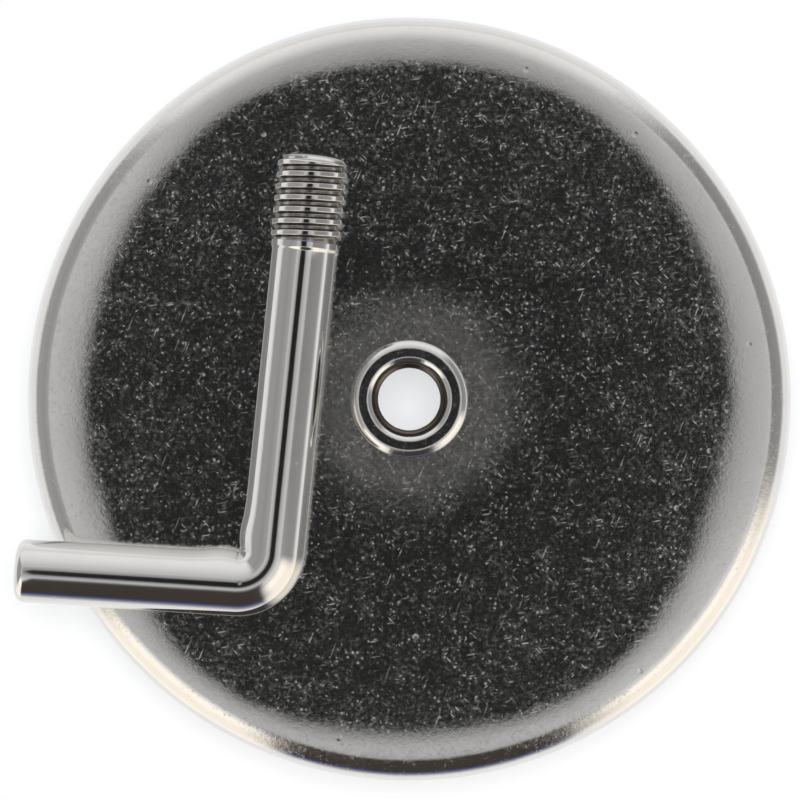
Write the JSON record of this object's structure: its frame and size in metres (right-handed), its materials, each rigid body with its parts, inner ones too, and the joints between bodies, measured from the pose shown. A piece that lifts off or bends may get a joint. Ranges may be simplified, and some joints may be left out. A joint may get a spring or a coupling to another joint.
{
  "type": "pot magnet",
  "caption": "Round pot magnet: a drawn plated steel cup over a ferrite ring, with a tapped centre bush, and its L-shaped screw hook lying on the back.",
  "frame": {"origin": "centre of the open, holding face, in the plane of the cup's rim", "axes": "+Z along the tapped bore's axis, out of the cup's closed back; +Y is the side that the hook's threaded end points to, and its short arm lies towards -X"},
  "size_m": [0.0665, 0.066, 0.0156],
  "materials": {
    "plated_sheet": "bright nickel plate, tumbled, with fine scratches",
    "plated_bush": "bright nickel plate",
    "plated_wire": "bright nickel plate",
    "ferrite": "matt, ground on its face"
  },
  "bodies": {
    "root": {"cup": "plated_sheet", "ring_magnet": "ferrite", "centre_bush": "plated_bush", "hook": "plated_wire"}
  },
  "joints": []
}
